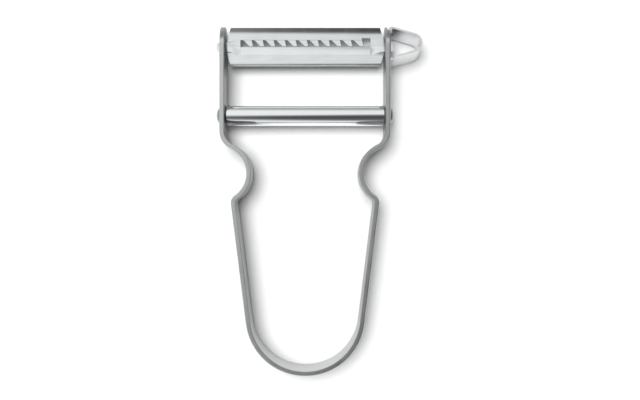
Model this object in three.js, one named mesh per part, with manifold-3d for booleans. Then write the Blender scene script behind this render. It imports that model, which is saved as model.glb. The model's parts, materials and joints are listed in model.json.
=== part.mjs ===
// Julienne peeler: a bent-strip handle, a swivelling toothed blade, a crossbar and an eye remover.
// Millimetres. X runs across the head, Y from the grip towards the head and Z up.
// While it is built, the swivel axis is the line y = 0 and the handle is symmetric about x = 0.
// The peeler lies on the back edges of its strip at z = 0, with its cutting side up.

import * as THREE from 'three';
import { mergeVertices } from 'three/addons/utils/BufferGeometryUtils.js';
import Module from 'manifold-3d';

// Handle strip. Radii and widths are those of its outer face.
const STRIP_WIDTH = 13;
const STRIP_THICKNESS = 1.5;
const STRIP_OUTER_RADIUS = 0.45;
const STRIP_INNER_RADIUS = 0.15;
const HEAD_WIDTH = 55;
const UPPER_BEND_RADIUS = 6.3;
const NOTCH_RADIUS = 8.65;
const NOTCH_DROP = 41.4;
const SHOULDER_RADIUS = 3;
const SHOULDER_WIDTH = 47.7;
const GRIP_RADIUS = 19.2;
const GRIP_DROP = 106.6;
const TIP_FLAT = 1.9;
const TIP_END = 0.8;

// Crossbar, shouldered at both ends and riveted over outside the arms
const CROSSBAR_DROP = 22.4;
const CROSSBAR_DIAMETER = 6.8;
const CROSSBAR_CHAMFER = 0.3;
const TENON_DIAMETER = 3.6;
const TENON_HEAD_DIAMETER = 5;
const TENON_HEAD_HEIGHT = 1.5;
const TENON_RIM_HEIGHT = 0.35;

// Blade, pressed from one sheet. Distances run from the swivel axis.
const BLADE_SHEET = 0.8;
const BLADE_TOP = 6.3;
const BLADE_BOTTOM = 6.2;
const BLADE_END_TAPER = 1.2;
const BLADE_END_FLAT = 2.4;
const RIDGE_HEIGHT = 0.15;
const TOP_LIP = 2.1;
const TOP_LIP_BEND = 1.1;
const TOP_LIP_ANGLE = 14;
const BOTTOM_LIP = 3.2;
const BOTTOM_LIP_ANGLE = 6;
const ROLL_WIDTH = 0.5;
const ROLL_DROP = 0.1;
const RIM_CHAMFER = 0.5;
const TAB_HEIGHT = 2.9;
const TAB_OVERHANG = 1.6;
const TAB_CORNER = 0.6;
const TAB_LIFT = 0.3;
const TAB_NECK = 0.5;
const TAB_FLARE = 0.9;
const TAB_ROOT = 3.8;
const TAB_ROOT_HEIGHT = 5;
const TAB_ROOT_SHEET = 0.25;
const TAB_ROOT_DEPTH = 0.03;

// Slit and teeth of the blade
const SLIT_END_LAND = 4.35;
const CUTTING_EDGE_Y = 0.1;
const SLIT_HEIGHT = 2.3;
const HOLLOW_WIDTH = 2.6;
const HOLLOW_DEPTH = 0.055;
const EDGE_DROP = 0.06;
const EDGE_LAND = 0.12;
const TOOTH_COUNT = 11;
const TOOTH_GAP_TOP = 0.9;
const TOOTH_LEAN = 0.5;
const TOOTH_TIP_WIDTH = 1.1;
const TOOTH_TIP_GAP = 0.2;
const TOOTH_RISE = 0.4;
const TOOTH_SHEET = 0.6;
const TOOTH_ROOT = 0.5;
const RELIEF_WIDTH = 2.8;
const RELIEF_HEIGHT = 1.9;
const RELIEF_RISE = 1.1;
const LAST_TOOTH_GAP = 0.3;

// Swivel
const SWIVEL_LIMIT = 45;
const TAB_CLEARANCE = 0.2;
const BLADE_END_PLAY = 0.35;

// Eye remover: a loop of flat strip outside the right arm. Radii are those of its middle line.
const LOOP_WIDTH = 9.5;
const LOOP_SHEET = 0.8;
const LOOP_TILT = 9;
const LOOP_TOP = 5.4;
const LOOP_TOP_RADIUS = 1.1;
const LOOP_REACH = 10.4;
const LOOP_NOSE_RADIUS = 2.9;
const LOOP_NOSE_LIFT = 0;
const LOOP_FOOT_DROP = 2.6;
const LOOP_GRIND = 3.6;
const LOOP_EDGE = 0.65;
const TONGUE_DROP = 4.7;
const TONGUE_WIDTH = 5;
const TONGUE_BEND_RADIUS = 2;
const TONGUE_SHOULDER = 0.9;
const TONGUE_RELIEF = 1.1;
const RIVET_DIAMETER = 1.5;
const RIVET_HEAD_DIAMETER = 2.3;
const RIVET_HEAD_HEIGHT = 0.4;
const RIVET_RIM_HEIGHT = 0.1;
const RIVET_SPREAD = 6.4;
const RIVET_RISE = 2.4;

// Fits
const SEAT_GAP = 0.1;
const HOLE_CLEARANCE = 0.15;
const POCKET_CLEARANCE = 0.2;
const CUT_OVERRUN = 1;

// Facets
const OUTER_CORNER_STEPS = 4;
const INNER_CORNER_STEPS = 1;
const FULLEST_ROUND = 0.95;
const TIP_STEPS = 8;
const ARC_STEP = 7;
const ROUND_SEGMENTS = 24;
const RIDGE_STEPS = 6;
const LIP_STEPS = 4;
const HOLLOW_STEPS = 5;
const DOME_STEPS = 4;

// Derived places
const MID_Z = STRIP_WIDTH / 2;
const ARM_OUTER = HEAD_WIDTH / 2;
const ARM_INNER = ARM_OUTER - STRIP_THICKNESS;
const TIP_RADIUS = STRIP_WIDTH / 2;
const TILT_ANGLE = THREE.MathUtils.degToRad(LOOP_TILT);

const wasm = await Module();
wasm.setup();

// Turns a closed geometry into a solid that can be cut and joined.
function solidOf(geometry) {
  const bare = geometry.index ? geometry.toNonIndexed() : geometry.clone();
  bare.deleteAttribute('normal');
  bare.deleteAttribute('uv');
  const merged = mergeVertices(bare);
  return new wasm.Manifold(new wasm.Mesh({
    numProp: 3,
    vertProperties: new Float32Array(merged.attributes.position.array),
    triVerts: new Uint32Array(merged.index.array),
  }));
}

// Turns a solid back into a geometry.
function geometryOf(solid) {
  const mesh = solid.getMesh();
  const geometry = new THREE.BufferGeometry();
  geometry.setAttribute('position', new THREE.BufferAttribute(mesh.vertProperties, mesh.numProp));
  geometry.setIndex(new THREE.BufferAttribute(mesh.triVerts, 1));
  return geometry;
}

// A prism along X whose section is drawn in the (y, z) plane.
function prismAlongX(shape, fromX, toX) {
  const geometry = new THREE.ExtrudeGeometry(shape, {
    depth: toX - fromX, bevelEnabled: false, curveSegments: ROUND_SEGMENTS,
  });
  const xAxis = new THREE.Vector3(1, 0, 0);
  const yAxis = new THREE.Vector3(0, 1, 0);
  const zAxis = new THREE.Vector3(0, 0, 1);
  geometry.applyMatrix4(new THREE.Matrix4().makeBasis(yAxis, zAxis, xAxis));
  return geometry.translate(fromX, 0, 0);
}

// A prism along Z whose outline is drawn in the (x, y) plane.
function prismAlongZ(shape, fromZ, toZ) {
  const geometry = new THREE.ExtrudeGeometry(shape, { depth: toZ - fromZ, bevelEnabled: false });
  return geometry.translate(0, 0, fromZ);
}

function polygon(points) {
  return new THREE.Shape(points.map(([u, v]) => new THREE.Vector2(u, v)));
}

function rectangle(minU, maxU, minV, maxV) {
  return polygon([[minU, minV], [maxU, minV], [maxU, maxV], [minU, maxV]]);
}

function disc(u, v, radius) {
  return new THREE.Shape().absarc(u, v, radius, 0, 2 * Math.PI, false);
}

// Skins a list of rings, each with as many points, into one closed body with flat ends.
function skin(rings) {
  const count = rings[0].length;
  const positions = rings.flat().flatMap((point) => [point.x, point.y, point.z]);
  const index = [];
  for (let ring = 0; ring + 1 < rings.length; ring += 1) {
    for (let k = 0; k < count; k += 1) {
      const a = ring * count + k;
      const b = ring * count + ((k + 1) % count);
      index.push(a, b, b + count, a, b + count, a + count);
    }
  }
  const last = (rings.length - 1) * count;
  for (let k = 1; k + 1 < count; k += 1) {
    index.push(0, k + 1, k, last, last + k, last + k + 1);
  }
  const geometry = new THREE.BufferGeometry();
  geometry.setAttribute('position', new THREE.Float32BufferAttribute(positions, 3));
  geometry.setIndex(index);
  return geometry;
}

// Stations along an arc: a point, and the direction that faces away from the handle's inside.
function arcStations(centre, radius, fromAngle, toAngle, outward) {
  const turn = THREE.MathUtils.radToDeg(Math.abs(toAngle - fromAngle));
  const steps = Math.max(2, Math.ceil(turn / ARC_STEP));
  const stations = [];
  for (let i = 0; i <= steps; i += 1) {
    const angle = fromAngle + ((toAngle - fromAngle) * i) / steps;
    const ray = new THREE.Vector2(Math.cos(angle), Math.sin(angle));
    stations.push({
      point: centre.clone().addScaledVector(ray, radius),
      normal: ray.multiplyScalar(outward),
      halfWidth: STRIP_WIDTH / 2,
      halfThickness: STRIP_THICKNESS / 2,
    });
  }
  return stations;
}

// The right half of the handle's middle line, from the arm's round tip down to the grip's bottom.
function handleHalf() {
  const half = STRIP_THICKNESS / 2;
  const armX = ARM_OUTER - half;
  const upperRadius = UPPER_BEND_RADIUS - half;
  const notchRadius = NOTCH_RADIUS + half;
  const shoulderRadius = SHOULDER_RADIUS - half;
  const gripRadius = GRIP_RADIUS - half;
  const notch = new THREE.Vector2(ARM_OUTER, -NOTCH_DROP);
  const upperX = armX - upperRadius;
  const upperRise = Math.sqrt((upperRadius + notchRadius) ** 2 - (notch.x - upperX) ** 2);
  const upper = new THREE.Vector2(upperX, notch.y + upperRise);
  const shoulderX = SHOULDER_WIDTH / 2 - SHOULDER_RADIUS;
  const shoulderFall = Math.sqrt((shoulderRadius + notchRadius) ** 2 - (notch.x - shoulderX) ** 2);
  const shoulder = new THREE.Vector2(shoulderX, notch.y - shoulderFall);
  const grip = new THREE.Vector2(0, GRIP_RADIUS - GRIP_DROP);

  const upperToNotch = notch.clone().sub(upper).angle() - 2 * Math.PI;
  const notchToUpper = upperToNotch + Math.PI;
  const notchToShoulder = shoulder.clone().sub(notch).angle();
  const shoulderToNotch = notchToShoulder - Math.PI;
  const gripToShoulder = shoulder.clone().sub(grip);
  const taper = gripToShoulder.angle()
    - Math.acos((gripRadius - shoulderRadius) / gripToShoulder.length());

  const tip = [];
  const square = { normal: new THREE.Vector2(1, 0), halfThickness: half };
  tip.push({
    ...square,
    point: new THREE.Vector2(armX, TIP_RADIUS),
    halfWidth: TIP_END / 2,
    halfThickness: TIP_END / 2,
  });
  const lastAngle = Math.acos(TIP_FLAT / 2 / TIP_RADIUS);
  for (let i = TIP_STEPS; i >= 1; i -= 1) {
    const angle = (lastAngle * i) / TIP_STEPS;
    const point = new THREE.Vector2(armX, TIP_RADIUS * Math.sin(angle));
    tip.push({ ...square, point, halfWidth: TIP_RADIUS * Math.cos(angle) });
  }
  tip.push({ ...square, point: new THREE.Vector2(armX, 0), halfWidth: TIP_RADIUS });
  return [
    ...tip,
    ...arcStations(upper, upperRadius, 0, upperToNotch, 1),
    ...arcStations(notch, notchRadius, notchToUpper, notchToShoulder, -1).slice(1),
    ...arcStations(shoulder, shoulderRadius, shoulderToNotch, taper, 1).slice(1),
    ...arcStations(grip, gripRadius, taper, -Math.PI / 2, 1),
  ];
}

// The strip's section at a station: a rectangle with round outer edges and nearly sharp inner edges.
function stripRing(station) {
  const thinner = station.halfThickness / (STRIP_THICKNESS / 2);
  const narrower = (station.halfWidth * FULLEST_ROUND) / STRIP_OUTER_RADIUS;
  const share = Math.min(1, thinner, narrower);
  const ring = [];
  const corners = [[1, 1], [-1, 1], [-1, -1], [1, -1]];
  corners.forEach(([sideN, sideZ], corner) => {
    const radius = share * (sideN > 0 ? STRIP_OUTER_RADIUS : STRIP_INNER_RADIUS);
    const steps = sideN > 0 ? OUTER_CORNER_STEPS : INNER_CORNER_STEPS;
    for (let k = 0; k <= steps; k += 1) {
      const angle = (corner + k / steps) * (Math.PI / 2);
      const n = sideN * (station.halfThickness - radius) + radius * Math.cos(angle);
      const z = sideZ * (station.halfWidth - radius) + radius * Math.sin(angle);
      const point = station.point.clone().addScaledVector(station.normal, n);
      ring.push(new THREE.Vector3(point.x, point.y, MID_Z + z));
    }
  });
  return ring;
}

// A hole outline that lets a flat tab rock about its middle, up to the swivel's limit each way.
function rockingHole() {
  const limit = THREE.MathUtils.degToRad(SWIVEL_LIMIT);
  const wall = BLADE_SHEET / 2 + TAB_CLEARANCE;
  const radius = Math.hypot(TAB_HEIGHT / 2, BLADE_SHEET / 2) + TAB_CLEARANCE;
  const spread = limit + Math.asin(wall / radius);
  const waist = wall / Math.cos(limit);
  const shape = new THREE.Shape();
  shape.moveTo(0, MID_Z - waist);
  shape.absarc(0, MID_Z, radius, -spread, spread, false);
  shape.lineTo(0, MID_Z + waist);
  shape.absarc(0, MID_Z, radius, Math.PI - spread, Math.PI + spread, false);
  shape.closePath();
  return shape;
}

// Sets a geometry of the eye remover at its slant about the swivel axis.
function slanted(geometry) {
  return geometry.rotateX(-TILT_ANGLE).translate(0, 0, MID_Z);
}

function rivetPlaces() {
  return [-1, 1].map((side) => ({ y: RIVET_RISE, z: (side * RIVET_SPREAD) / 2 }));
}

function handleGeometry() {
  const right = handleHalf();
  const left = right.slice(0, -1).map((station) => ({
    ...station,
    point: new THREE.Vector2(-station.point.x, station.point.y),
    normal: new THREE.Vector2(-station.normal.x, station.normal.y),
  }));
  const stations = [...right, ...left.reverse()];
  let body = solidOf(skin(stations.map(stripRing)));

  const through = ARM_OUTER + CUT_OVERRUN;
  const inside = ARM_INNER - CUT_OVERRUN;
  body = body.subtract(solidOf(prismAlongX(rockingHole(), -through, through)));
  const tenonHole = disc(-CROSSBAR_DROP, MID_Z, TENON_DIAMETER / 2 + HOLE_CLEARANCE);
  body = body.subtract(solidOf(prismAlongX(tenonHole, -through, through)));

  const pocketHalf = LOOP_WIDTH / 2 + POCKET_CLEARANCE;
  const pocket = rectangle(-LOOP_FOOT_DROP - POCKET_CLEARANCE, 2 * TIP_RADIUS, -pocketHalf, pocketHalf);
  const pocketFloor = ARM_OUTER - LOOP_SHEET - SEAT_GAP;
  body = body.subtract(solidOf(slanted(prismAlongX(pocket, pocketFloor, through))));

  const slotHalf = LOOP_SHEET / 2 + HOLE_CLEARANCE;
  const slotSide = TONGUE_WIDTH / 2 + HOLE_CLEARANCE;
  const slot = rectangle(-TONGUE_DROP - slotHalf, -TONGUE_DROP + slotHalf, -slotSide, slotSide);
  body = body.subtract(solidOf(slanted(prismAlongX(slot, inside, through))));

  rivetPlaces().forEach(({ y, z }) => {
    const hole = disc(y, z, RIVET_DIAMETER / 2 + HOLE_CLEARANCE);
    body = body.subtract(solidOf(slanted(prismAlongX(hole, inside, through))));
  });
  return geometryOf(body);
}

// The profile of a low domed head on a seat, as radii and distances along its axis.
function domedHead(radius, seat, rimHeight, height) {
  const points = [[radius, seat]];
  for (let i = 0; i < DOME_STEPS; i += 1) {
    const angle = (Math.PI / 2) * (i / DOME_STEPS);
    points.push([radius * Math.cos(angle), seat + rimHeight + (height - rimHeight) * Math.sin(angle)]);
  }
  points.push([0, seat + height]);
  return points;
}

// A bar turned down to a tenon at each end, with the tenon's end riveted over outside the arm.
function crossbarGeometry() {
  const barEnd = ARM_INNER - SEAT_GAP;
  const headSeat = ARM_OUTER + SEAT_GAP;
  const barRadius = CROSSBAR_DIAMETER / 2;
  const half = [
    [barRadius, barEnd - CROSSBAR_CHAMFER],
    [barRadius - CROSSBAR_CHAMFER, barEnd],
    [TENON_DIAMETER / 2, barEnd],
    [TENON_DIAMETER / 2, headSeat],
    ...domedHead(TENON_HEAD_DIAMETER / 2, headSeat, TENON_RIM_HEIGHT, TENON_HEAD_HEIGHT),
  ];
  const mirrored = half.map(([radius, along]) => [radius, -along]).reverse();
  const profile = [...mirrored, ...half].map(([radius, along]) => new THREE.Vector2(radius, along));
  const geometry = new THREE.LatheGeometry(profile, ROUND_SEGMENTS);
  geometry.rotateZ(-Math.PI / 2);
  return geometryOf(solidOf(geometry.translate(0, -CROSSBAR_DROP, MID_Z)));
}

// Height of the blade's middle surface, across the blade: a low ridge between two turned-up lips.
function ridge(y) {
  const upperFoot = BLADE_TOP - TOP_LIP;
  const lowerFoot = BLADE_BOTTOM - BOTTOM_LIP;
  if (y > upperFoot) {
    const bent = Math.min(y - upperFoot, TOP_LIP_BEND);
    const straight = y - upperFoot - bent;
    const slope = Math.tan(THREE.MathUtils.degToRad(TOP_LIP_ANGLE));
    return slope * (bent ** 2 / (2 * TOP_LIP_BEND) + straight);
  }
  if (y < -lowerFoot) {
    return (-lowerFoot - y) * Math.tan(THREE.MathUtils.degToRad(BOTTOM_LIP_ANGLE));
  }
  const share = y > 0 ? y / upperFoot : -y / lowerFoot;
  return (RIDGE_HEIGHT / 2) * (1 + Math.cos(Math.PI * share));
}

// The blade's pressed section, drawn in (y, z) about the swivel axis. Its bottom edge is rolled down.
function bladeSection() {
  const upperFoot = BLADE_TOP - TOP_LIP;
  const lowerFoot = BLADE_BOTTOM - BOTTOM_LIP;
  const chamferY = RIM_CHAMFER - BLADE_BOTTOM;
  const rollY = chamferY + ROLL_WIDTH;
  const across = [];
  for (let i = -RIDGE_STEPS; i <= RIDGE_STEPS; i += 1) {
    across.push(((i > 0 ? upperFoot : lowerFoot) * i) / RIDGE_STEPS);
  }
  for (let i = 1; i <= LIP_STEPS; i += 1) {
    across.push(upperFoot + (TOP_LIP_BEND * i) / LIP_STEPS);
  }
  const lowerY = [-BLADE_BOTTOM, ...across, BLADE_TOP];
  const upperY = [BLADE_TOP, ...across.slice().reverse(), rollY];
  const lower = lowerY.map((y) => [y, ridge(y) - TAB_LIFT - BLADE_SHEET / 2]);
  const upper = upperY.map((y) => [y, ridge(y) - TAB_LIFT + BLADE_SHEET / 2]);
  const rollZ = ridge(rollY) - TAB_LIFT + BLADE_SHEET / 2;
  const rolled = [[chamferY, rollZ - ROLL_DROP], [-BLADE_BOTTOM, rollZ - ROLL_DROP - RIM_CHAMFER]];
  return polygon([...lower, ...upper, ...rolled]);
}

// The blade's outline from the front, without its tabs.
function bladeOutline() {
  const shoulder = ARM_INNER - BLADE_END_PLAY;
  const rim = shoulder - BLADE_END_TAPER;
  return polygon([
    [-rim, -BLADE_BOTTOM], [rim, -BLADE_BOTTOM], [shoulder, -BLADE_END_FLAT], [shoulder, BLADE_END_FLAT],
    [rim, BLADE_TOP], [-rim, BLADE_TOP], [-shoulder, BLADE_END_FLAT], [-shoulder, -BLADE_END_FLAT],
  ]);
}

// The toothed edge: a row of teeth with one steep side and one slanted side.
function combOutline(slitLeft, pitch) {
  const root = CUTTING_EDGE_Y + SLIT_HEIGHT;
  const tip = CUTTING_EDGE_Y + TOOTH_TIP_GAP;
  const points = [];
  for (let i = 0; i < TOOTH_COUNT; i += 1) {
    const left = slitLeft + i * pitch;
    const right = left + pitch;
    const tipRight = right + TOOTH_LEAN;
    points.push([left + TOOTH_GAP_TOP, root], [tipRight - TOOTH_TIP_WIDTH, tip]);
    points.push([tipRight, tip], [right, root]);
  }
  const first = slitLeft + TOOTH_GAP_TOP;
  const last = slitLeft + TOOTH_COUNT * pitch;
  return polygon([...points, [last, root + TOOTH_ROOT], [first, root + TOOTH_ROOT]]);
}

// A flat tab that passes through its arm, with its outer corners cut off. Its root slopes into the blade.
function tabGeometry(side) {
  const shoulder = ARM_INNER - BLADE_END_PLAY;
  const flat = { top: TAB_HEIGHT / 2, flare: 0, middle: 0, halfSheet: BLADE_SHEET / 2 };
  const sections = [
    {
      x: shoulder - TAB_ROOT,
      top: TAB_ROOT_HEIGHT / 2,
      flare: 0,
      middle: -TAB_ROOT_DEPTH,
      halfSheet: TAB_ROOT_SHEET / 2,
    },
    { ...flat, x: shoulder - TAB_NECK, flare: TAB_FLARE },
    { ...flat, x: shoulder },
    { ...flat, x: ARM_OUTER + TAB_OVERHANG - TAB_CORNER },
    { ...flat, x: ARM_OUTER + TAB_OVERHANG, top: TAB_HEIGHT / 2 - TAB_CORNER },
  ];
  const rings = sections.map(({ x, top, flare, middle, halfSheet }) => [
    new THREE.Vector3(side * x, -top - flare, middle - halfSheet),
    new THREE.Vector3(side * x, top + flare, middle - halfSheet),
    new THREE.Vector3(side * x, top, middle + halfSheet),
    new THREE.Vector3(side * x, -top, middle + halfSheet),
  ]);
  return skin(side > 0 ? rings : rings.reverse());
}

function bladeGeometry() {
  const shoulder = ARM_INNER - BLADE_END_PLAY;
  const deep = 2 * BLADE_TOP;
  const slitRight = shoulder - SLIT_END_LAND;
  const slitLeft = -slitRight;
  const pitch = (slitRight - slitLeft - RELIEF_WIDTH) / TOOTH_COUNT;
  const root = CUTTING_EDGE_Y + SLIT_HEIGHT;

  let body = solidOf(prismAlongX(bladeSection(), -shoulder, shoulder));
  body = body.intersect(solidOf(prismAlongZ(bladeOutline(), -deep, deep)));
  const reliefLeft = slitRight - RELIEF_WIDTH;
  const slitEnd = reliefLeft + TOOTH_LEAN + LAST_TOOTH_GAP;
  const slit = rectangle(slitLeft, slitEnd, CUTTING_EDGE_Y, root);
  body = body.subtract(solidOf(prismAlongZ(slit, -deep, deep)));
  const reliefBottom = CUTTING_EDGE_Y + RELIEF_RISE;
  const relief = rectangle(reliefLeft, slitRight, reliefBottom, reliefBottom + RELIEF_HEIGHT);
  body = body.subtract(solidOf(prismAlongZ(relief, -deep, deep)));

  // Behind the cutting edge, the outside is a shallow hollow and the inside is ground to a bevel.
  const footY = CUTTING_EDGE_Y - HOLLOW_WIDTH;
  const footZ = ridge(footY) - TAB_LIFT + BLADE_SHEET / 2;
  const hollow = [];
  for (let i = 0; i <= HOLLOW_STEPS; i += 1) {
    const share = i / HOLLOW_STEPS;
    const depth = 4 * HOLLOW_DEPTH * share * (1 - share) + EDGE_DROP * share;
    hollow.push([footY + HOLLOW_WIDTH * share, footZ - depth]);
  }
  const edgeZ = footZ - EDGE_DROP;
  const above = polygon([...hollow, [root, edgeZ], [root, deep], [footY, deep]]);
  body = body.subtract(solidOf(prismAlongX(above, slitLeft, slitRight)));
  const under = polygon([
    [footY, footZ - BLADE_SHEET], [footY, -deep], [root, -deep], [root, edgeZ - EDGE_LAND],
    [CUTTING_EDGE_Y, edgeZ - EDGE_LAND],
  ]);
  body = body.subtract(solidOf(prismAlongX(under, slitLeft, slitEnd)));

  // The teeth are bent up from the slit's other edge.
  const rootZ = ridge(root) - TAB_LIFT;
  const tipY = CUTTING_EDGE_Y + TOOTH_TIP_GAP;
  const tipZ = rootZ + TOOTH_RISE;
  const backZ = ridge(root + TOOTH_ROOT) - TAB_LIFT;
  const slab = polygon([
    [tipY, tipZ - TOOTH_SHEET / 2], [root, rootZ - TOOTH_SHEET / 2],
    [root + TOOTH_ROOT, backZ - TOOTH_SHEET / 2], [root + TOOTH_ROOT, backZ + TOOTH_SHEET / 2],
    [root, rootZ + TOOTH_SHEET / 2], [tipY, tipZ + TOOTH_SHEET / 2],
  ]);
  const comb = solidOf(prismAlongZ(combOutline(slitLeft, pitch), -deep, deep));
  body = body.add(comb.intersect(solidOf(prismAlongX(slab, slitLeft, slitRight))));

  body = body.add(solidOf(tabGeometry(1)));
  body = body.add(solidOf(tabGeometry(-1)));
  return geometryOf(body.translate([0, 0, MID_Z]));
}

// The loop's middle line: a foot up the arm, round the nose and back to a tongue through the arm.
// Every bend turns the same way, so each straight stretch is a tangent common to two bends.
function loopStations() {
  const footX = ARM_OUTER - LOOP_SHEET / 2;
  const noseX = ARM_OUTER + LOOP_REACH - LOOP_SHEET / 2 - LOOP_NOSE_RADIUS;
  const tongueX = ARM_OUTER + TONGUE_SHOULDER;
  const bends = [
    { centre: new THREE.Vector2(footX + LOOP_TOP_RADIUS, LOOP_TOP - LOOP_SHEET / 2 - LOOP_TOP_RADIUS),
      radius: LOOP_TOP_RADIUS },
    { centre: new THREE.Vector2(noseX, LOOP_NOSE_LIFT), radius: LOOP_NOSE_RADIUS },
    { centre: new THREE.Vector2(tongueX, TONGUE_BEND_RADIUS - TONGUE_DROP), radius: TONGUE_BEND_RADIUS },
  ];
  const headings = [Math.PI / 2];
  for (let i = 0; i + 1 < bends.length; i += 1) {
    const span = bends[i + 1].centre.clone().sub(bends[i].centre);
    const lean = Math.asin((bends[i + 1].radius - bends[i].radius) / span.length());
    const heading = Math.atan2(span.y, span.x) + lean;
    headings.push(heading);
  }
  headings.push(-Math.PI);

  const stations = [{ point: new THREE.Vector2(footX, -LOOP_FOOT_DROP), heading: Math.PI / 2 }];
  bends.forEach(({ centre, radius }, i) => {
    const turn = headings[i + 1] - headings[i];
    const steps = Math.max(3, Math.ceil(THREE.MathUtils.radToDeg(Math.abs(turn)) / (2 * ARC_STEP)));
    for (let k = 0; k <= steps; k += 1) {
      const heading = headings[i] + (turn * k) / steps;
      const left = new THREE.Vector2(-Math.sin(heading), Math.cos(heading));
      stations.push({ point: centre.clone().addScaledVector(left, radius), heading });
    }
  });
  const tongueEnd = new THREE.Vector2(ARM_INNER + SEAT_GAP, -TONGUE_DROP);
  stations.push({ point: tongueEnd, heading: -Math.PI });
  return stations;
}

// The loop's section at a station. Its front edge is ground thin from the inside.
function loopRing({ point, heading }) {
  const left = new THREE.Vector2(-Math.sin(heading), Math.cos(heading));
  const half = LOOP_SHEET / 2;
  const front = LOOP_WIDTH / 2;
  const section = [
    [half, front], [half - LOOP_EDGE, front], [-half, front - LOOP_GRIND], [-half, -front], [half, -front],
  ];
  return section.map(([across, z]) => {
    const place = point.clone().addScaledVector(left, across);
    return new THREE.Vector3(place.x, place.y, z);
  });
}

function eyeRemoverGeometry() {
  let body = solidOf(skin(loopStations().map(loopRing)));

  const holeRadius = Math.hypot(TAB_HEIGHT / 2, BLADE_SHEET / 2) + 2 * TAB_CLEARANCE;
  const footInside = ARM_OUTER - LOOP_SHEET - CUT_OVERRUN / 2;
  const footOutside = ARM_OUTER + CUT_OVERRUN / 2;
  body = body.subtract(solidOf(prismAlongX(disc(0, 0, holeRadius), footInside, footOutside)));
  rivetPlaces().forEach(({ y, z }) => {
    const hole = disc(y, z, RIVET_DIAMETER / 2 + HOLE_CLEARANCE);
    body = body.subtract(solidOf(prismAlongX(hole, footInside, footOutside)));
  });

  // The tongue is narrower than the loop. Its back shoulder stops against the arm, and a notch relieves
  // the front one, where the loop is sharpened.
  const tongueTop = -TONGUE_DROP + LOOP_SHEET;
  const tongueBottom = -TONGUE_DROP - LOOP_SHEET;
  [-1, 1].forEach((side) => {
    const near = (side * TONGUE_WIDTH) / 2;
    const far = side * LOOP_WIDTH;
    const corner = rectangle(tongueBottom, tongueTop, Math.min(near, far), Math.max(near, far));
    const shoulderX = ARM_OUTER + (side > 0 ? TONGUE_RELIEF : SEAT_GAP);
    body = body.subtract(solidOf(prismAlongX(corner, ARM_INNER - CUT_OVERRUN, shoulderX)));
  });
  return slanted(geometryOf(body));
}

// A small rivet through the loop's foot and the arm, flush inside and with a low head outside.
function rivetGeometry({ y, z }) {
  const shank = RIVET_DIAMETER / 2;
  const seat = ARM_OUTER + SEAT_GAP;
  const profile = [
    [0, ARM_INNER], [shank, ARM_INNER], [shank, seat],
    ...domedHead(RIVET_HEAD_DIAMETER / 2, seat, RIVET_RIM_HEIGHT, RIVET_HEAD_HEIGHT),
  ].map(([radius, along]) => new THREE.Vector2(radius, along));
  const geometry = new THREE.LatheGeometry(profile, ROUND_SEGMENTS / 2);
  geometry.rotateZ(-Math.PI / 2);
  return slanted(geometryOf(solidOf(geometry.translate(0, y, z))));
}

function piece(name, geometry, finish) {
  const mesh = new THREE.Mesh(geometry, new THREE.MeshStandardMaterial(finish));
  mesh.name = name;
  return mesh;
}

const aluminium = { color: 0xb9bcc0, roughness: 0.32, metalness: 1 };
const polishedAluminium = { color: 0xd4d6d9, roughness: 0.16, metalness: 1 };
const stainless = { color: 0xc8cacc, roughness: 0.24, metalness: 1 };

const peeler = new THREE.Group();
peeler.add(
  piece('handle_bow', handleGeometry(), aluminium),
  piece('crossbar', crossbarGeometry(), polishedAluminium),
  piece('julienne_blade', bladeGeometry(), stainless),
  piece('eye_remover', eyeRemoverGeometry(), stainless),
);
rivetPlaces().forEach((place, i) => {
  peeler.add(piece(`eye_remover_rivet_${i + 1}`, rivetGeometry(place), aluminium));
});

// The origin is the middle of the surface that the peeler lies on.
const box = new THREE.Box3().setFromObject(peeler);
const centre = box.getCenter(new THREE.Vector3());
peeler.position.set(-centre.x, -centre.y, -box.min.z);

export default peeler;
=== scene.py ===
import json
import math
from typing import NamedTuple

import bmesh
import bpy
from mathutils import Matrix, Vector


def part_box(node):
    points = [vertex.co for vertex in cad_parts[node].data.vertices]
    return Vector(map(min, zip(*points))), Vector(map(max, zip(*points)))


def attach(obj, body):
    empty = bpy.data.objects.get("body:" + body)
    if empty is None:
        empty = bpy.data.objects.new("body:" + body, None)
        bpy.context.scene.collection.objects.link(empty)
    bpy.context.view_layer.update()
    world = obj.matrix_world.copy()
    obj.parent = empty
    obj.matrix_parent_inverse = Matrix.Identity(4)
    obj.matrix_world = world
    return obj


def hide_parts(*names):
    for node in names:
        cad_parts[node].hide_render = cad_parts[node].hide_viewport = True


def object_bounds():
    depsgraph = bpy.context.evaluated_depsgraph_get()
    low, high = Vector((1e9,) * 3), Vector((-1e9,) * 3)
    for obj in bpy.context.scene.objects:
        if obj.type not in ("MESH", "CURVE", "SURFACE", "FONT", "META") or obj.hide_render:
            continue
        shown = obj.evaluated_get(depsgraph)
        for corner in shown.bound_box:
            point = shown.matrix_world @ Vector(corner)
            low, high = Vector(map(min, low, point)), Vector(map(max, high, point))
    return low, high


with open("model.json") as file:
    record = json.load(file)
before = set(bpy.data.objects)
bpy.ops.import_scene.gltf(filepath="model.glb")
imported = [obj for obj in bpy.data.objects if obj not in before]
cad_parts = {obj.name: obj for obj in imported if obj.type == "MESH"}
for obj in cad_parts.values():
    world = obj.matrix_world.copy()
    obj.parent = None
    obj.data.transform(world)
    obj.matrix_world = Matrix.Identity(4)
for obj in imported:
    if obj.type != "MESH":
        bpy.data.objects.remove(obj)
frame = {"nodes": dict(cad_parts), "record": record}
cad_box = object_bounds()

# Sizes are in metres. The peeler lies on its back edges at z = 0 and is seen from straight above.
MM = 0.001
STRIP_WIDTH = cad_box[1][2]
SWIVEL_Y = frame["record"]["behaviour"]["joints"][0]["pos_m"][1]

# Meshes
WELD_DISTANCE = 0.002 * MM
FLAT_ANGLE = math.radians(0.6)
SMOOTH_ANGLE = math.radians(32)

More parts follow.
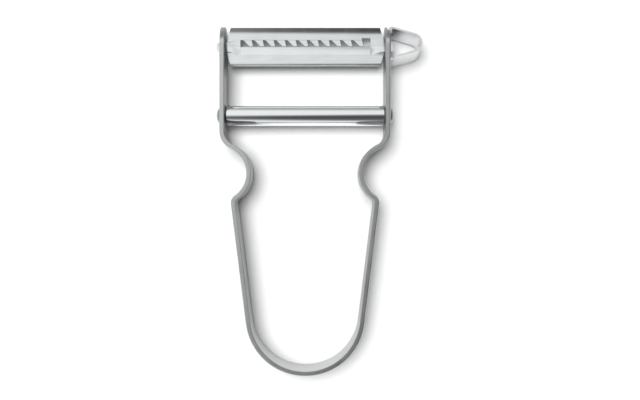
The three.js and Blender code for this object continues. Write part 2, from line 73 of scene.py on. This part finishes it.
# Wear and painted highlight of the strip: distances from its edges, places along Y in the palm, and the
# palm's share
EDGE_WEAR_AND_SHEEN_START = 0.55 * MM
EDGE_WEAR_AND_SHEEN_FULL = 0.15 * MM
PALM_WEAR_AND_SHEEN_FULL_Y = -54 * MM
PALM_WEAR_AND_SHEEN_END_Y = -30 * MM
PALM_WEAR_AND_SHEEN_SHARE = 0.8

# The blade's brightest ground band, as places along Y from the swivel axis, and the share beside it
GROUND_BOTTOM = (-2.6 * MM, -2.3 * MM)
GROUND_TOP = (0.1 * MM, 0.3 * MM)
GROUND_SHARE_BESIDE = 0.85
OUTSIDE_NORMAL_Z = (-0.3, 0.3)

# How far inside the arms' outer faces the crossbar's polish begins to fade
POLISH_FADE = 1.0 * MM

# Noise on every metal: smudges, and hairline scratches as stretch, scale and turn in degrees
LINE_DETAIL = 3.0
SMUDGE_SCALE = 160
SMUDGE_DETAIL = 4.0
SCRATCH_SETS = (((1, 0.03, 0.06), 6000, 38), ((0.03, 1, 0.06), 5000, 22))
SCRATCH_DETAIL = 2.0
SCRATCH_LEVELS = (0.67, 0.71)

# How lines, smudges, the brightening mask (wear, and on the strip also a painted highlight) and scratches
# set the tone, the roughness and the relief of a metal
LINE_TONE = 0.26
SMUDGE_TONE = 0.20
BRIGHTENING_TONE = 0.6
TONE_STOPS = (0.12, 0.28, 0.72, 0.88)
ROUGH_LEVELS = (0.35, 0.65)
SCRATCH_ROUGHNESS = 0.08
SCRATCH_DEPTH = 0.4
RELIEF_STRENGTH = 0.35

# Camera, with its lens and sensor in millimetres
CAMERA_HEIGHT = 280 * MM
CAMERA_PLACE = (0.4 * MM, 0.0)
CAMERA_LENS = 46.9
SENSOR_WIDTH = 36

# Floor and light, with angles in degrees
FLOOR_SIZE = 40.0
FLOOR_COLOUR = (0.55, 0.55, 0.55, 1)
DOME_COLOUR = (0.97, 1.0, 1.0, 1)
DOME_FILL = 0.9
BACKDROP_LIGHT = 1.1
PANEL_TILT = (-6, 26)
GAP_TILT = (40, -30)
KEY_TILT = (-9, 8)
KEY_WIDTH = 33
KEY_STRENGTH = 5.2


class Graph:
    """Makes and links the nodes of one material or world."""

    def __init__(self, tree):
        tree.nodes.clear()
        self.tree = tree

    def feed(self, value, socket):
        """Sets a socket to a plain value, or links another node's output to it."""
        if isinstance(value, bpy.types.NodeSocket):
            self.tree.links.new(value, socket)
        else:
            socket.default_value = value

    def add(self, kind, **inputs):
        """Adds a node and feeds its inputs, whose names have _ for a space."""
        made = self.tree.nodes.new(kind)
        for key, value in inputs.items():
            self.feed(value, made.inputs[key.replace("_", " ")])
        return made

    def math(self, operation, first, second):
        made = self.add("ShaderNodeMath")
        made.operation = operation
        self.feed(first, made.inputs[0])
        self.feed(second, made.inputs[1])
        return made.outputs["Value"]

    def distance(self, value, middle):
        """How far a value is from the middle, on either side of it."""
        return self.math("ABSOLUTE", self.math("SUBTRACT", value, middle), 0.0)

    def spread(self, value, source, target, kind="LINEAR"):
        """Maps one range of values to another."""
        made = self.add("ShaderNodeMapRange", Value=value, From_Min=source[0], From_Max=source[1],
                        To_Min=target[0], To_Max=target[1])
        made.interpolation_type = kind
        return made.outputs["Result"]

    def ease(self, value, source, target):
        """Maps one range of values to another, smoothly at both ends."""
        return self.spread(value, source, target, "SMOOTHSTEP")

    def ramp(self, value, stops):
        """Turns a value into a colour. The stops are pairs of a place and a colour."""
        made = self.add("ShaderNodeValToRGB", Fac=value)
        elements = made.color_ramp.elements
        while len(elements) < len(stops):
            elements.new(1.0)
        for element, (place, colour) in zip(elements, stops):
            element.position = place
            element.color = (*colour, 1)
        return made.outputs["Color"]

    def noise(self, place, stretch, scale, detail, turn=0.0):
        mapping = self.add("ShaderNodeMapping", Vector=place, Scale=stretch, Rotation=(0, 0, turn))
        made = self.add("ShaderNodeTexNoise", Vector=mapping.outputs["Vector"], Scale=scale, Detail=detail)
        return made.outputs["Fac"]

    def scratches(self, place):
        """A few hairline scratches that run in two directions."""
        lines = []
        for stretch, scale, turn in SCRATCH_SETS:
            streaks = self.noise(place, stretch, scale, SCRATCH_DETAIL, math.radians(turn))
            lines.append(self.spread(streaks, SCRATCH_LEVELS, (0, 1)))
        return self.math("MAXIMUM", *lines)

    def axes(self, vector):
        """The X, Y and Z outputs of a vector."""
        return self.add("ShaderNodeSeparateXYZ", Vector=vector).outputs


def wear_and_painted_sheen(graph, place):
    """Where the strip is lighter: on its front and back edges, as wear and a painted highlight, and a
    little less in the palm, as polish and a painted reflection.
    """
    axes = graph.axes(place)
    middle = STRIP_WIDTH / 2
    limits = (middle - EDGE_WEAR_AND_SHEEN_START, middle - EDGE_WEAR_AND_SHEEN_FULL)
    # Edges: partly real wear, partly a painted highlight
    edges = graph.ease(graph.distance(axes["Z"], middle), limits, (0, 1))
    # Palm: partly real polish, partly a painted reflection
    palm = graph.ease(axes["Y"], (PALM_WEAR_AND_SHEEN_FULL_Y, PALM_WEAR_AND_SHEEN_END_Y), (PALM_WEAR_AND_SHEEN_SHARE, 0))
    return graph.math("MAXIMUM", edges, palm)


def ground_outside(graph, place):
    """Where the blade is ground: on its outside, and most of all behind its cutting edge."""
    along = graph.math("SUBTRACT", graph.axes(place)["Y"], SWIVEL_Y)
    lower = graph.ease(along, GROUND_BOTTOM, (0, 1))
    upper = graph.ease(along, GROUND_TOP, (1, 0))
    band = graph.spread(graph.math("MULTIPLY", lower, upper), (0, 1), (GROUND_SHARE_BESIDE, 1.0))
    normal = graph.add("ShaderNodeTexCoord").outputs["Normal"]
    outside = graph.ease(graph.axes(normal)["Z"], OUTSIDE_NORMAL_Z, (0, 1))
    return graph.math("MULTIPLY", band, outside)


def between_arms(graph, place):
    """Where the crossbar is polished: everywhere but on its riveted ends."""
    low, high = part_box("handle_bow")
    middle = (low[0] + high[0]) / 2
    half = (high[0] - low[0]) / 2
    away = graph.distance(graph.axes(place)["X"], middle)
    return graph.ease(away, (half - POLISH_FADE, half), (1, 0))


def no_brightening(graph, place):
    return 0.0


class Grain(NamedTuple):
    """Lines on a metal, long along the axes whose stretch is low, with their depth in metres."""

    stretch: tuple
    scale: float
    depth: float
    contrast: float


def darkened(colour, share):
    return tuple(part * (1 - share) for part in colour)


def metal_colour(graph, lines, smudges, brightened, shades):
    """Goes through the shades as the brightening mask grows, with the lines and smudges as mottle. On the
    strip that mask is wear and a painted highlight.
    """
    mottle = graph.math("ADD", graph.math("MULTIPLY", lines, LINE_TONE),
                        graph.math("MULTIPLY", smudges, SMUDGE_TONE))
    # The mask lightens the tone: wear, and on the strip also a painted highlight
    tone = graph.math("ADD", mottle, graph.math("MULTIPLY", brightened, BRIGHTENING_TONE))
    return graph.ramp(tone, list(zip(TONE_STOPS, shades)))


def metal_roughness(graph, lines, smudges, scratches, polished, rough):
    """Varies over a range with the mean of lines and smudges, and is higher in scratches."""
    mean = graph.math("MULTIPLY", graph.math("ADD", lines, smudges), 0.5)
    base = graph.math("MULTIPLY", graph.spread(mean, ROUGH_LEVELS, rough), polished)
    return graph.math("ADD", base, graph.math("MULTIPLY", scratches, SCRATCH_ROUGHNESS))


def metal(name, dull, bright, rough, grain, brightening=no_brightening, polish=0.7):
    """Bare metal with lines, broad smudges and hairline scratches, brighter where its brightening mask is
    high: wear, grinding or polish, and on the strip also a painted highlight.

    Dull and bright are its colours where the mask is low and where it is high, rough is its range of
    roughness, and a full mask multiplies the roughness by polish.
    """
    material = bpy.data.materials.new(name)
    material.use_nodes = True
    graph = Graph(material.node_tree)
    place = graph.add("ShaderNodeTexCoord").outputs["Object"]
    lines = graph.noise(place, grain.stretch, grain.scale, LINE_DETAIL)
    smudges = graph.noise(place, (1, 1, 1), SMUDGE_SCALE, SMUDGE_DETAIL)
    scratches = graph.scratches(place)
    brightened = brightening(graph, place)
    polished = graph.spread(brightened, (0, 1), (1.0, polish))

    shades = (darkened(dull, grain.contrast), dull, darkened(bright, grain.contrast), bright)
    colour = metal_colour(graph, lines, smudges, brightened, shades)
    roughness = metal_roughness(graph, lines, smudges, scratches, polished, rough)
    height = graph.math("SUBTRACT", lines, graph.math("MULTIPLY", scratches, SCRATCH_DEPTH))
    relief = graph.add("ShaderNodeBump", Strength=RELIEF_STRENGTH, Distance=grain.depth, Height=height)

    shader = graph.add("ShaderNodeBsdfPrincipled", Metallic=1.0, Base_Color=colour, Roughness=roughness,
                       Normal=relief.outputs["Normal"])
    shader.distribution = "GGX"
    graph.add("ShaderNodeOutputMaterial", Surface=shader.outputs["BSDF"])
    return material


def drawn_aluminium():
    """The satin strip of the handle, with lines along it, lighter on its edges and in the palm as wear and
    a painted highlight.
    """
    grain = Grain(stretch=(0.04, 0.04, 1), scale=5000, depth=0.004 * MM, contrast=0.2)
    # Bright is the colour of its edges and palm: partly real wear, partly a painted highlight
    return metal("drawn_aluminium", dull=(0.41, 0.41, 0.415), bright=(0.73, 0.735, 0.74),
                 rough=(0.38, 0.54), grain=grain, brightening=wear_and_painted_sheen)


def turned_aluminium():
    """The polished crossbar, with faint turning marks round it."""
    grain = Grain(stretch=(1, 0.08, 0.08), scale=4000, depth=0.0004 * MM, contrast=0.06)
    return metal("turned_aluminium", dull=(0.48, 0.48, 0.485), bright=(0.94, 0.95, 0.96),
                 rough=(0.30, 0.42), grain=grain, brightening=between_arms, polish=0.2)


def headed_aluminium():
    """The small rivets, with no direction in their surface."""
    grain = Grain(stretch=(1, 1, 1), scale=3000, depth=0.002 * MM, contrast=0.14)
    return metal("headed_aluminium", dull=(0.50, 0.50, 0.505), bright=(0.76, 0.77, 0.78),
                 rough=(0.28, 0.40), grain=grain)


def ground_steel():
    """The blade, ground along its length."""
    grain = Grain(stretch=(0.06, 1, 1), scale=2600, depth=0.001 * MM, contrast=0.14)
    return metal("ground_steel", dull=(0.40, 0.41, 0.42), bright=(0.92, 0.93, 0.94),
                 rough=(0.26, 0.46), grain=grain, brightening=ground_outside, polish=0.35)


def loop_steel():
    """The bright strip of the eye remover, with lines along it."""
    grain = Grain(stretch=(0.06, 0.06, 1), scale=3600, depth=0.001 * MM, contrast=0.14)
    return metal("loop_steel", dull=(0.78, 0.78, 0.79), bright=(0.86, 0.86, 0.87),
                 rough=(0.15, 0.24), grain=grain)


def clean_mesh(name, source):
    """A copy of a CAD mesh with its coplanar facets joined, smooth faces and sharp edges marked."""
    mesh = bpy.data.meshes.new(name)
    work = bmesh.new()
    work.from_mesh(source)
    bmesh.ops.remove_doubles(work, verts=work.verts, dist=WELD_DISTANCE)
    bmesh.ops.dissolve_limit(work, angle_limit=FLAT_ANGLE, verts=work.verts, edges=work.edges)
    for face in work.faces:
        face.smooth = True
    for edge in work.edges:
        edge.smooth = len(edge.link_faces) == 2 and edge.calc_face_angle() < SMOOTH_ANGLE
    work.to_mesh(mesh)
    work.free()
    mesh.materials.clear()
    return mesh


def dress(name, body, material):
    """Makes the smoothly shaded piece that stands for a CAD node."""
    mesh = clean_mesh(name + "_skin", frame["nodes"][name].data)
    mesh.materials.append(material)
    piece = bpy.data.objects.new(name + "_skin", mesh)
    bpy.context.scene.collection.objects.link(piece)
    weighted = piece.modifiers.new("even_normals", "WEIGHTED_NORMAL")
    weighted.keep_sharp = True
    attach(piece, body)
    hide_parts(name)


def make_pieces():
    dress("handle_bow", "handle", drawn_aluminium())
    dress("crossbar", "handle", turned_aluminium())
    dress("julienne_blade", "blade", ground_steel())
    dress("eye_remover", "handle", loop_steel())
    rivet_metal = headed_aluminium()
    for number in (1, 2):
        dress(f"eye_remover_rivet_{number}", "handle", rivet_metal)


def make_floor():
    material = bpy.data.materials.new("pale_floor")
    material.use_nodes = True
    graph = Graph(material.node_tree)
    shader = graph.add("ShaderNodeBsdfDiffuse", Color=FLOOR_COLOUR)
    graph.add("ShaderNodeOutputMaterial", Surface=shader.outputs["BSDF"])
    half = FLOOR_SIZE / 2
    corners = [(-half, -half, 0), (half, -half, 0), (half, half, 0), (-half, half, 0)]
    mesh = bpy.data.meshes.new("floor")
    mesh.from_pydata(corners, [], [(0, 1, 2, 3)])
    mesh.materials.append(material)
    floor = bpy.data.objects.new("floor", mesh)
    bpy.context.scene.collection.objects.link(floor)


def sky_direction(across, along):
    """The direction that is tilted from straight up by these angles, in degrees, towards +X and +Y."""
    return Vector((math.tan(math.radians(across)), math.tan(math.radians(along)), 1)).normalized()


def dome_part(graph, direction, far, near, low, high):
    """A value that goes from low, beyond the far angle from a direction, to high, within the near one."""
    dot = graph.add("ShaderNodeVectorMath")
    dot.operation = "DOT_PRODUCT"
    graph.feed(graph.add("ShaderNodeTexCoord").outputs["Generated"], dot.inputs[0])
    graph.feed(direction, dot.inputs[1])
    limits = (math.cos(math.radians(far)), math.cos(math.radians(near)))
    return graph.ease(dot.outputs["Value"], limits, (low, high))


def dome_light(graph):
    """Paler on the left, with a soft panel over the head, a bright front and a dark gap up on the right."""
    left = Vector((-1, 0, 0))
    front = Vector((0, -1, 0.1)).normalized()
    light = dome_part(graph, left, far=130, near=50, low=0.24, high=0.48)
    panel = dome_part(graph, sky_direction(*PANEL_TILT), far=50, near=8, low=0.0, high=0.52)
    light = graph.math("ADD", light, panel)
    light = graph.math("ADD", light, dome_part(graph, front, far=60, near=8, low=0.0, high=0.45))
    gap = dome_part(graph, sky_direction(*GAP_TILT), far=53, near=38, low=1.0, high=0.2)
    return graph.math("MULTIPLY", light, gap)


def make_world():
    """A studio dome that the metal mirrors. Behind the floor it shows as plain white."""
    world = bpy.data.worlds.new("studio_dome")
    world.use_nodes = True
    graph = Graph(world.node_tree)
    rays = graph.add("ShaderNodeLightPath").outputs
    fill = graph.spread(rays["Is Diffuse Ray"], (0, 1), (1.0, DOME_FILL))
    backdrop = graph.math("MULTIPLY", rays["Is Camera Ray"], BACKDROP_LIGHT)
    light = graph.math("MAXIMUM", graph.math("MULTIPLY", dome_light(graph), fill), backdrop)
    background = graph.add("ShaderNodeBackground", Color=DOME_COLOUR, Strength=light)
    graph.add("ShaderNodeOutputWorld", Surface=background.outputs["Background"])
    bpy.context.scene.world = world


def make_key_light():
    """A wide, far softbox up on the left. It lights the floor, and the metal doesn't mirror it."""
    data = bpy.data.lights.new("key_light", "SUN")
    data.angle = math.radians(KEY_WIDTH)
    data.energy = KEY_STRENGTH
    lamp = bpy.data.objects.new("key_light", data)
    lamp.rotation_euler = sky_direction(*KEY_TILT).to_track_quat("Z", "Y").to_euler()
    lamp.visible_glossy = False
    bpy.context.scene.collection.objects.link(lamp)


def make_camera():
    data = bpy.data.cameras.new("camera")
    data.lens = CAMERA_LENS
    data.sensor_width = SENSOR_WIDTH
    camera = bpy.data.objects.new("camera", data)
    camera.location = (*CAMERA_PLACE, CAMERA_HEIGHT)
    bpy.context.scene.collection.objects.link(camera)
    bpy.context.scene.camera = camera


make_camera()
make_pieces()
make_floor()
make_world()
make_key_light()
bpy.context.scene.view_settings.view_transform = "Standard"
